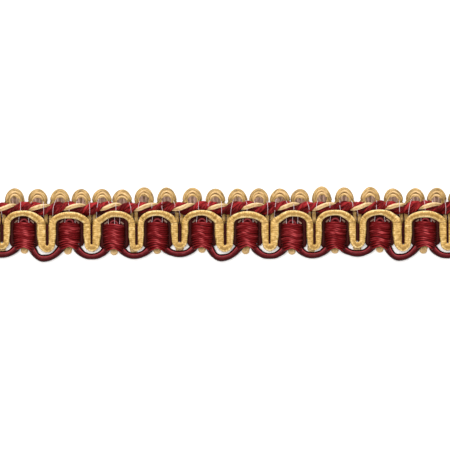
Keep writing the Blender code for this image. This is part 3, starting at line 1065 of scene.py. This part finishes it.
def front_arch(left_x, right_x, arch_y, front):
    """The front cord's arch over a block, with painted shade that is deepest on its crown."""
    half_width = (right_x - left_x) / 2
    centre_x = (left_x + right_x) / 2
    rise = arch_y - FRONT_SPRING_Y
    exponent = 2 / FRONT_ROUNDING
    for angle in arc(math.pi, 0.0, steps=48):
        share = 1.0 - angle / math.pi
        droop = front.left_droop if share < 0.5 else front.right_droop
        x = centre_x + half_width * power(math.cos(angle), exponent)
        y = FRONT_SPRING_Y + rise * power(math.sin(angle), exponent) - droop * math.sin(TURN * share) ** 2
        number = sum(share >= station for station in ARCH_STATIONS[1:-1])
        span = ARCH_STATIONS[number + 1] - ARCH_STATIONS[number]
        half = blend(front[number], front[number + 1], (share - ARCH_STATIONS[number]) / span)
        yield front_point(x, y, half, FRONT_LEG_SHADE + (ARCH_SHADE - FRONT_LEG_SHADE) * math.sin(angle) ** 2)


def front_path():
    """The whole front cord."""
    left_x = block_x(0) + BLOCKS[0].left_leg
    ends = (FRONTS[-1].right_leg, FRONTS[-1].turn, FRONTS[0].left_leg)
    points = list(front_turn(-LENGTH - left_x, left_x, BLOCKS[-1].turn, ends, 1.5 * math.pi))
    for number in range(COUNT):
        block = kind_of(BLOCKS, number)
        front = kind_of(FRONTS, number)
        right_x = block_x(number) + block.right_leg
        points += front_leg(left_x, points[-1].y, front.left_leg, True)
        points += front_arch(left_x, right_x, block.arch, front)
        last = number == COUNT - 1
        left_x = LENGTH - right_x if last else block_x(number + 1) + kind_of(BLOCKS, number + 1).left_leg
        points += front_leg(right_x, block.turn + (left_x - right_x) / 2, front.right_leg, False)
        halves = (front.right_leg, front.turn, kind_of(FRONTS, number + 1).left_leg)
        points += front_turn(right_x, left_x, block.turn, halves, last=1.5 * math.pi if last else TURN)
    return points


class BRAID_OT_front_cord(bpy.types.Operator):
    """Make the gold cord that runs in arches over the blocks"""

    bl_idname = "braid.front_cord"
    bl_label = "Front Cord"

    def execute(self, context):
        sizes = context.scene.braid_sizes
        settings = covering(sizes.front_pitch, sizes.wrap_depth, stations=5)
        settings.update({"Flatness": 0.92, "Seed": sizes.seed})
        paths = [front_path()]
        grow("gold_front_gimp", paths, cord_tree(), "gold_cord", settings, "gold_cord", ["gold_front_cord"])
        return {"FINISHED"}


# Scalloped cord


def scallop_side(turn_x, turn_y, turn_half, foot_x, foot_y):
    """The burgundy cord from its lowest point up to the foot of a block, and on behind it."""
    for share in arc(0.0, 1.0, steps=16):
        x = turn_x + (foot_x - turn_x) * share
        y = turn_y + (foot_y - turn_y) * share ** SCALLOP_ROUNDING
        half = blend(blend(turn_half, SCALLOP_FLANK_HALF, 2 * share), SCALLOP_FOOT_HALF, 2 * share - 1)
        yield Point(x, y, SCALLOP_Z, half)
    inward = math.copysign(SCALLOP_LEG - CROWN_RADIUS, turn_x - foot_x)
    for share in arc(0.0, 1.0, steps=6)[1:]:
        half = blend(SCALLOP_FOOT_HALF, SCALLOP_BEHIND_HALF, share)
        yield Point(foot_x - inward * share, foot_y + SCALLOP_TAPER * share, SCALLOP_Z, half)


def scallop_crown(centre, crown_y):
    """The burgundy cord's small turn, which shows above a block, with painted light."""
    for angle in arc(math.pi, 0.0, steps=16):
        x = centre + CROWN_RADIUS * math.cos(angle)
        y = crown_y - CROWN_RADIUS + CROWN_RADIUS * math.sin(angle)
        yield Point(x, y, SCALLOP_Z + CROWN_LIFT, CROWN_HALF, CROWN_LIGHT)


def scallop_path():
    """The whole burgundy cord."""
    turn = (-LENGTH / 2, BLOCKS[-1].scallop, SCALLOP_HALVES[-1])
    for number in range(COUNT):
        centre = block_x(number)
        block = kind_of(BLOCKS, number)
        yield from scallop_side(*turn, centre - SCALLOP_LEG, block.foot)
        yield from scallop_crown(centre, block.top + CROWN_RISE)
        last = number == COUNT - 1
        turn_x = LENGTH / 2 if last else (centre + block_x(number + 1)) / 2 + kind_of(SCALLOP_SHIFTS, number)
        turn = (turn_x, block.scallop, kind_of(SCALLOP_HALVES, number))
        falling = list(scallop_side(*turn, centre + SCALLOP_LEG, block.foot - kind_of(SCALLOP_DROPS, number)))
        yield from reversed(falling if last else falling[1:])


class BRAID_OT_scallop_cord(bpy.types.Operator):
    """Make the burgundy cord that hangs in scallops at the lower edge"""

    bl_idname = "braid.scallop_cord"
    bl_label = "Scalloped Cord"

    def execute(self, context):
        sizes = context.scene.braid_sizes
        settings = covering(sizes.wrap_pitch, sizes.wrap_depth, stations=4)
        settings["Seed"] = sizes.seed + 1
        nodes = ["burgundy_scallop_cord"]
        paths = [scallop_path()]
        grow("burgundy_scallop_gimp", paths, cord_tree(), "burgundy_cord", settings, "burgundy_cord", nodes)
        return {"FINISHED"}


# Loop yarn


def yarn_turn(x, y, first, last, plump=0.0):
    """The loop yarn's narrow turn with its lowest point at x, y, made lighter with painted light."""
    radius = YARN_SPACING - plump
    for angle in arc(first, last, steps=12):
        turn_y = y + YARN_SPACING + radius * math.sin(angle)
        half = YARN_HALF + plump * abs(math.sin(angle))
        yield Point(x + radius * math.cos(angle), turn_y, 0.0, half, YARN_TURN_LIGHT)


def yarn_leg(leg_x, loop_x, shown):
    """The loop yarn's leg, up to the foot of a loop, in painted shade. Where it is shown, between two arches,
    it bulges, its painted shade fades from below and it gets painted light.
    """
    for y in LEG_LOW_YS:
        yield Point(leg_x, y, 0.0, YARN_HALF, LEG_SHADE)
    for y in arc(0.0, LEG_STRAIGHT_Y, steps=12):
        bulge = math.sin(math.pi * min(1.0, y / BULGE_HEIGHT)) if shown else 0.0
        tone = blend(LEG_SHADE, 0.0, y / SHADE_HEIGHT) + BULGE_LIGHT * bulge if shown else LEG_SHADE
        yield Point(leg_x, y, BULGE * bulge, YARN_HALF, tone)
    for share in arc(0.0, 1.0, steps=6)[:-1]:
        y = LEG_TOP_Y + (LOOP_FOOT_Y - LEG_TOP_Y) * share
        half = blend(YARN_HALF, YARN_LOOP_HALF, share)
        yield Point(blend(leg_x, loop_x, share), y, 0.0, half, LOOP_FOOT_SHADE)


def yarn_loop(start_x, end_x, middle_x, peak_y, shown_side):
    """One edge loop from the leg at start_x to the leg at end_x. The leg on the shown side is in sight. The
    loop gets painted shade low on its flanks and painted light on its top.
    """
    outermost = LENGTH / 2 - LOOP_WIDTH - YARN_LOOP_HALF
    middle_x = min(outermost, max(-outermost, middle_x))
    rise = peak_y - YARN_LOOP_HALF - LOOP_FOOT_Y
    exponent = 2 / LOOP_ROUNDING
    yield from yarn_leg(start_x, middle_x - LOOP_WIDTH, shown_side < 0)
    for angle in arc(math.pi, 0.0, steps=24):
        x = middle_x + LOOP_WIDTH * power(math.cos(angle), exponent)
        y = LOOP_FOOT_Y + rise * power(math.sin(angle), exponent)
        yield Point(x, y, 0.0, YARN_LOOP_HALF, blend(LOOP_FLANK_SHADE, LOOP_TOP_LIGHT, math.sin(angle)))
    yield from reversed(list(yarn_leg(end_x, middle_x + LOOP_WIDTH, shown_side > 0)))


def bundle_path():
    """The middle of the loop yarn, with half its width."""
    side = YARN_SPACING
    tuck_x = -LENGTH / 2
    yield from yarn_turn(tuck_x, LOOPS[-1].tuck_y, 1.5 * math.pi, TURN)
    for number in range(COUNT):
        centre = block_x(number)
        loops = kind_of(LOOPS, number)
        split_x = centre + loops.split
        yield from yarn_loop(tuck_x + side, split_x - side, centre + loops.loop_a, loops.peak_a, -1)
        yield from yarn_turn(centre + loops.nub, loops.nub_y, math.pi, TURN, NUB_PLUMP)
        last = number == COUNT - 1
        tuck_x = LENGTH / 2 if last else centre + loops.tuck
        yield from yarn_loop(split_x + side, tuck_x - side, centre + loops.loop_b, loops.peak_b, 1)
        yield from yarn_turn(tuck_x, loops.tuck_y, math.pi, 1.5 * math.pi if last else TURN)


def strand_path(bundle, strand):
    """One strand of the loop yarn, at its own place across it, with its painted light and shade."""
    for number, point in enumerate(bundle):
        before = bundle[max(0, number - 1)]
        after = bundle[min(len(bundle) - 1, number + 1)]
        ahead = Vector((after.x - before.x, after.y - before.y))
        if ahead.length < SAME_PLACE:
            continue
        ahead.normalize()
        level = abs(ahead.x)
        toned = blend(0.0, 1.0, (point.half - TONED_FROM_HALF) / TONED_OVER)
        tone = strand.tone * blend(FLANK_TONE_SHARE, 1.0, level) + strand.flank_tone * (1.0 - level)
        shift = blend(strand.flank, strand.crest, level) * point.half
        x = point.x - ahead.y * shift
        y = point.y + ahead.x * shift
        z = YARN_Z + strand.lift + point.z
        yield Point(x, y, z, strand.share * point.half, toned * tone + point.tone)


def hollow_paths():
    """Dark yarns that paint the shade in the hollow of each loop, and the short ones at the corners of each
    block, where the loop yarn peeks out in painted shade.
    """
    for number in range(COUNT):
        centre = block_x(number)
        loops = kind_of(LOOPS, number)
        for x, peak_y in ((loops.loop_a, loops.peak_a), (loops.loop_b, loops.peak_b)):
            if abs(centre + x) >= LENGTH / 2 - HOLLOW_END_GAP:
                continue
            for away, drop, tone in HOLLOWS:
                high_y = peak_y - 2 * YARN_LOOP_HALF + HOLLOW_OVERLAP - drop
                ys = arc(high_y, HOLLOW_FOOT_Y, steps=6)
                yield [Point(centre + x + away * (y / high_y), y, HOLLOW_Z, HOLLOW_HALF, tone) for y in ys]
        low_y = kind_of(BLOCKS, number).top - CORNER_SINK
        for x in CORNER_XS:
            low = (centre + x, low_y, CORNER_Z)
            high = (centre + x - math.copysign(CORNER_LEAN, x), low_y + CORNER_RISE, CORNER_Z)
            yield line_points(low, high, CORNER_HALF, 4)


class BRAID_OT_loop_yarn(bpy.types.Operator):
    """Make the gold strands that loop out at the upper edge, and dark yarns painting the shade in their
    hollows
    """

    bl_idname = "braid.loop_yarn"
    bl_label = "Loop Yarn"

    def execute(self, context):
        sizes = context.scene.braid_sizes
        settings = {
            "Step": 0.00026,
            "Sides": 8,
            "Fibre Twist": 120.0,
            "Wander": sizes.wander * 9,
            "Wander Scale": 380.0,
            "Seed": sizes.seed + 2,
        }
        bundle = list(bundle_path())
        paths = [strand_path(bundle, strand) for strand in STRANDS]
        nodes = ["gold_loop_yarn"]
        grow("gold_loop_strands", paths, cord_tree(), "gold_loops", settings, "gold_loops", nodes)
        settings = {"Step": 0.0001, "Sides": 12, "Fibre Twist": 120.0, "Wander": 0.4, "Seed": sizes.seed + 8}
        grow("loop_hollows", hollow_paths(), cord_tree(), "loop_shade", settings, "gold_loops")
        return {"FINISHED"}


# Wound blocks


class BRAID_OT_wound_blocks(bpy.types.Operator):
    """Wind the yarn of every block"""

    bl_idname = "braid.wound_blocks"
    bl_label = "Wound Blocks"

    def execute(self, context):
        sizes = context.scene.braid_sizes
        chance = random.Random(sizes.seed)
        core = [[Point(0, 0, 0, 1), Point(1, 0, 0, 1)]]
        for number in range(COUNT):
            block = kind_of(BLOCKS, number)
            settings = {
                "Centre X": block_x(number) * MM,
                "Foot Y": block.foot * MM,
                "Centre Z": BLOCK_Z * MM,
                "Height": (block.top - block.foot) * MM,
                "Half Width": BLOCK_HALF_WIDTH * MM - sizes.winding_yarn,
                "Half Thickness": BLOCK_HALF_THICKNESS * MM - sizes.winding_yarn / 2,
                "Turns": sizes.winding_turns,
                "Yarn": sizes.winding_yarn,
                "Slant": chance.uniform(*SLANTS),
                "Bow": chance.uniform(*BOWS),
                "Unevenness": 0.00016,
                "Seed": sizes.seed + number * 3,
            }
            nodes = [f"wound_block_{number + 1:02d}"]
            name = f"winding_{number + 1:02d}"
            grow(name, core, winding_tree(), "burgundy_winding", settings, "burgundy_winding", nodes)
        return {"FINISHED"}


# Rope


def rope_turns(along):
    """How many turns the rope has made, counted from a gold crest."""
    repeat, rest = divmod(along - ROPE_CRESTS[0], REPEAT)
    crests = [crest - ROPE_CRESTS[0] for crest in ROPE_CRESTS] + [REPEAT]
    number = sum(rest > crest for crest in crests[1:-1])
    share = (rest - crests[number]) / (crests[number + 1] - crests[number])
    return repeat * len(ROPE_CRESTS) + number + share


def ply_path(ply):
    """One ply of the rope. The gold ply, number 0, is fullest on top and lies close in at the sides. A
    burgundy ply gets painted light on its side towards the loops and painted shade on the other; the gold ply
    gets painted light on its crest and painted shade where it thins and runs under the others.
    """
    for along in arc(0.0, LENGTH, ROPE_STATIONS):
        angle = TURN * (rope_turns(along) + ply / 3)
        middle_y = ROPE_Y + ROPE_SWAY * math.cos(TURN * (along - BLOCKS[0].centre) / PITCH)
        if ply == 0:
            fullness = (0.5 + 0.5 * math.cos(angle)) ** GOLD_PLY_BREADTH
            angle += GOLD_PLY_LEAD
            y = middle_y + GOLD_PLY_RISE + GOLD_PLY_CIRCLE * math.sin(angle)
            rise = GOLD_PLY_TOP * math.cos(GOLD_PLY_STAY * math.remainder(angle, TURN))
            half = GOLD_PLY_THIN + (GOLD_PLY_HALF - GOLD_PLY_THIN) * fullness
            tone = blend(GOLD_PLY_END_SHADE, PLY_LIGHT, fullness)
        else:
            y = middle_y + PLY_CIRCLE * math.sin(angle)
            rise = PLY_CIRCLE * math.cos(angle)
            half = PLY_HALF
            tone = PLY_LIGHT * math.sin(angle)
        z = max(ROPE_Z + ROPE_PRESS * rise, half + PLY_FLOOR)
        yield Point(along - LENGTH / 2, y, z, half, tone)


class BRAID_OT_rope(bpy.types.Operator):
    """Make the three plies of the twisted rope"""

    bl_idname = "braid.rope"
    bl_label = "Twisted Rope"

    def execute(self, context):
        sizes = context.scene.braid_sizes
        nodes = ["twisted_rope"]
        settings = {
            "Step": 0.00013,
            "Sides": 8,
            "Flatness": 0.85,
            "Strands": sizes.ply_yarns,
            "Strand Circle": 0.55,
            "Strand Lay": -sizes.ply_lay,
            "Fibre Twist": 200.0,
            "Wander": sizes.wander,
            "Seed": sizes.seed + 3,
        }
        paths = [ply_path(1), ply_path(2)]
        grow("rope_burgundy_plies", paths, cord_tree(), "burgundy_ply", settings, "rope_plies", nodes)
        settings = covering(pitch=0.0002, depth=0.00003, stations=4)
        settings.update({"Flatness": 0.85, "Seed": sizes.seed + 4})
        grow("rope_gold_ply", [ply_path(0)], cord_tree(), "gold_ply", settings, "gold_cord", nodes)
        return {"FINISHED"}


# Sewing


def line_points(start, end, half, steps, bow=0.0):
    """A thread from start to end, bowed to the right in the middle."""
    for share in arc(0.0, 1.0, steps):
        x, y, z = [low + (high - low) * share for low, high in zip(start, end)]
        yield Point(x + bow * math.sin(math.pi * share), y, z, half)


def on_rope(point):
    """The point, lifted onto the rope's surface."""
    away = (point.y - ROPE_Y) / STITCH_SIDE
    top = ROPE_Z + STITCH_RISE * math.sqrt(max(0.0, 1.0 - away * away))
    return point._replace(z=max(STITCH_LOW_Z, top + STITCH_LIFT))


def sewing_paths(half):
    """Every pale stitch of the braid."""
    for repeat in range(-1, REPEATS):
        for stitch in STITCHES:
            start_x = repeat * REPEAT - LENGTH / 2
            if abs(start_x + stitch.upper_x) < LENGTH / 2 - STITCH_END_GAP:
                upper = (start_x + stitch.upper_x, stitch.upper_y, 0.0)
                lower = (start_x + stitch.lower_x, stitch.lower_y, 0.0)
                yield [on_rope(point) for point in line_points(upper, lower, half, 10, stitch.bow)]
    for number in range(COUNT):
        block = kind_of(BLOCKS, number)
        for upper_x, lower_x in kind_of(SHORT_STITCHES, number):
            upper = (block_x(number) + upper_x, block.arch - SHORT_UNDER_ARCH, SHORT_TOP_Z)
            lower = (block_x(number) + lower_x, block.top - SHORT_INTO_BLOCK, SHORT_TOP_Z + SHORT_CLIMB)
            yield line_points(upper, lower, half, 6)


def tie_points(centre_x, half):
    """A short tie over the front cord."""
    for angle in arc(TIE_FIRST, TIE_LAST, steps=16):
        x = centre_x + (half + TIE_GAP) * math.cos(angle)
        y = TIE_Y + TIE_SLOPE * math.cos(angle)
        yield Point(x, y, FRONT_LEG_Z + TIE_DEPTH * half * math.sin(angle), TIE_HALF)


def binding_paths():
    """The ties over the right shoulders of the arches."""
    for number in range(COUNT):
        centre_x = block_x(number) + kind_of(BLOCKS, number).right_leg
        yield tie_points(centre_x, kind_of(FRONTS, number).right_leg)


def side_points(centre, side, block):
    """A dark yarn beside a block, which swells out from its foot and paints the shade beside the block."""
    for share in arc(0.0, 1.0, steps=20):
        full = blend(0.0, 1.0, share * SIDE_QUICKNESS)
        x = centre + side * (SIDE_X + SIDE_SPREAD * full)
        y = block.foot + SIDE_ABOVE_FOOT + (block.top + SIDE_ABOVE_TOP - block.foot) * share
        yield Point(x, y, SIDE_Z, SIDE_HALF + SIDE_SWELL * full)


def ground_shade_paths():
    """Dark threads that run along the braid behind the rope, and the dark yarns round each block, all
    painting the shade in the gaps.
    """
    for number, y in enumerate(GROUND_ROWS):
        xs = arc(-LENGTH / 2, LENGTH / 2, steps=260)
        ripples = [GROUND_RIPPLE * math.sin(x * RIPPLE_RATE + number * ROW_SHIFT) for x in xs]
        yield [Point(x, y, GROUND_Z + ripple, GROUND_HALF) for x, ripple in zip(xs, ripples)]
    for number in range(COUNT):
        block = kind_of(BLOCKS, number)
        centre = block_x(number)
        for y in HOLE_ROWS:
            xs = arc(-HOLE_REACH, HOLE_REACH, steps=10)
            yield [Point(centre + x, y, HOLE_Z - HOLE_DIP * x * x, HOLE_HALF) for x in xs]
        if number < COUNT - 1:
            next_left = block_x(number + 1) + kind_of(BLOCKS, number + 1).left_leg
            slot_x = (centre + block.right_leg + next_left) / 2
            low = (slot_x, block.turn + SLOT_ABOVE_TURN, SLOT_Z)
            yield line_points((slot_x, 0.0, SLOT_Z), low, SLOT_HALF, 10)
        for side in (-1, 1):
            yield side_points(centre, side, block)


class BRAID_OT_sewing(bpy.types.Operator):
    """Make the pale stitches, the ties and the dark threads that paint the shade behind the rope"""

    bl_idname = "braid.sewing"
    bl_label = "Sewing"

    def execute(self, context):
        sizes = context.scene.braid_sizes
        stitches = sewing_paths(sizes.thread_half / MM)
        labels = ("Step", "Sides", "Fibre Twist", "Wander", "Wander Scale", "Seed")
        for name, paths, yarn, slot, values in (
            ("pale_stitches", stitches, "thread", "gold_loops", (0.00012, 6, 300.0, 1.5, 600.0, 5)),
            ("binding_thread", binding_paths(), "binding", "gold_loops", (0.00008, 7, 300.0, 0.6, 900.0, 6)),
            # Near-black threads that paint the shade in the gaps
            ("ground_threads", ground_shade_paths(), "ground", "burgundy_cord", (0.0004, 6, 200.0, 0.6, 500.0, 7)),
        ):
            settings = dict(zip(labels, values))
            settings["Seed"] += sizes.seed
            grow(name, paths, cord_tree(), yarn, settings, slot)
        return {"FINISHED"}


# Stage


def floor_material():
    """Pale card with a very faint grain."""
    colour = tuple(bpy.context.scene.braid_colours.floor)
    settings = {
        "Roughness": 0.8,
        "Specular IOR Level": 0.2,
        "Emission Color": (1.0, 0.98, 0.97, 1.0),
        "Emission Strength": bpy.context.scene.braid_stage.glow,
    }
    material, steps, shader = new_material("pale_floor", settings)
    place = steps.add("ShaderNodeTexCoord", output="Object")
    grain = steps.noise("Fac", Vector=place, Scale=220.0, Detail=2.0)
    steps.put(steps.mixed(grain, tinted(colour, 0.985), tinted(colour, 1.0)), shader["Base Color"])
    return material


def softbox(name, place, size, watts, colour):
    """A large soft light that faces the braid."""
    light = bpy.data.lights.new(name, "AREA")
    light.shape = "RECTANGLE"
    light.size, light.size_y = size
    light.energy = watts
    light.color = colour
    holder = add_object(name, light)
    holder.location = place
    holder.rotation_euler = (-Vector(place)).to_track_quat("-Z", "Y").to_euler()


class BRAID_OT_stage(bpy.types.Operator):
    """Make the floor, the lights and the camera"""

    bl_idname = "braid.stage"
    bl_label = "Stage"

    def execute(self, context):
        stage = context.scene.braid_stage
        mesh = bpy.data.meshes.new("floor")
        shape = bmesh.new()
        bmesh.ops.create_grid(shape, x_segments=8, y_segments=8, size=3.0)
        shape.to_mesh(mesh)
        shape.free()
        mesh.materials.append(floor_material())
        floor = add_object("floor", mesh)
        world = bpy.data.worlds.new("pale_surround")
        world.use_nodes = True
        background = world.node_tree.nodes["Background"].inputs
        background["Color"].default_value = (1.0, 1.0, 1.0, 1.0)
        background["Strength"].default_value = stage.sky
        context.scene.world = world
        lower_light = stage.side_light * LOWER_LIGHT_SHARE
        softbox("upper_light", (0.0, 0.62, 0.42), (1.2, 0.35), stage.side_light, WARM_WHITE)
        softbox("lower_light", (0.0, -0.62, 0.42), (1.2, 0.35), lower_light, WARM_WHITE)
        softbox("key_light", (-0.12, 0.1, 1.3), (0.5, 0.5), stage.key_light, (1.0, 0.985, 0.96))
        lens = bpy.data.cameras.new("camera")
        lens.lens = stage.camera_lens
        lens.sensor_width = 36.0
        camera = add_object("camera", lens)
        camera.location = (0.0, CAMERA_Y * MM, stage.camera_height)
        camera.rotation_euler = Euler((0.0, 0.0, CAMERA_ROLL))
        context.scene.camera = camera
        context.scene.view_settings.view_transform = "Standard"
        return {"FINISHED"}


# Panel


class BRAID_PT_panel(bpy.types.Panel):
    """Lists the pieces of the braid"""

    bl_idname = "BRAID_PT_panel"
    bl_label = "Gimp Braid"
    bl_space_type = "VIEW_3D"
    bl_region_type = "UI"
    bl_category = "Braid"

    def draw(self, context):
        for operator in OPERATORS:
            self.layout.operator(operator.bl_idname)
        scene = context.scene
        for group in (scene.braid_sizes, scene.braid_colours, scene.braid_stage):
            box = self.layout.box()
            for name in group.__annotations__:
                box.prop(group, name)


OPERATORS = (
    BRAID_OT_front_cord,
    BRAID_OT_scallop_cord,
    BRAID_OT_loop_yarn,
    BRAID_OT_wound_blocks,
    BRAID_OT_rope,
    BRAID_OT_sewing,
    BRAID_OT_stage,
)
CLASSES = (BraidSizes, BraidColours, BraidStage, *OPERATORS, BRAID_PT_panel)


def register():
    """Register the classes and the settings."""
    for each in CLASSES:
        bpy.utils.register_class(each)
    bpy.types.Scene.braid_sizes = bpy.props.PointerProperty(type=BraidSizes)
    bpy.types.Scene.braid_colours = bpy.props.PointerProperty(type=BraidColours)
    bpy.types.Scene.braid_stage = bpy.props.PointerProperty(type=BraidStage)


def unregister():
    """Take the classes and the settings away."""
    del bpy.types.Scene.braid_stage
    del bpy.types.Scene.braid_colours
    del bpy.types.Scene.braid_sizes
    for each in reversed(CLASSES):
        bpy.utils.unregister_class(each)


def main():
    """Make the whole scene."""
    register()
    bpy.ops.braid.front_cord()
    bpy.ops.braid.scallop_cord()
    bpy.ops.braid.loop_yarn()
    bpy.ops.braid.wound_blocks()
    bpy.ops.braid.rope()
    bpy.ops.braid.sewing()
    bpy.ops.braid.stage()


if __name__ == "__main__":
    main()
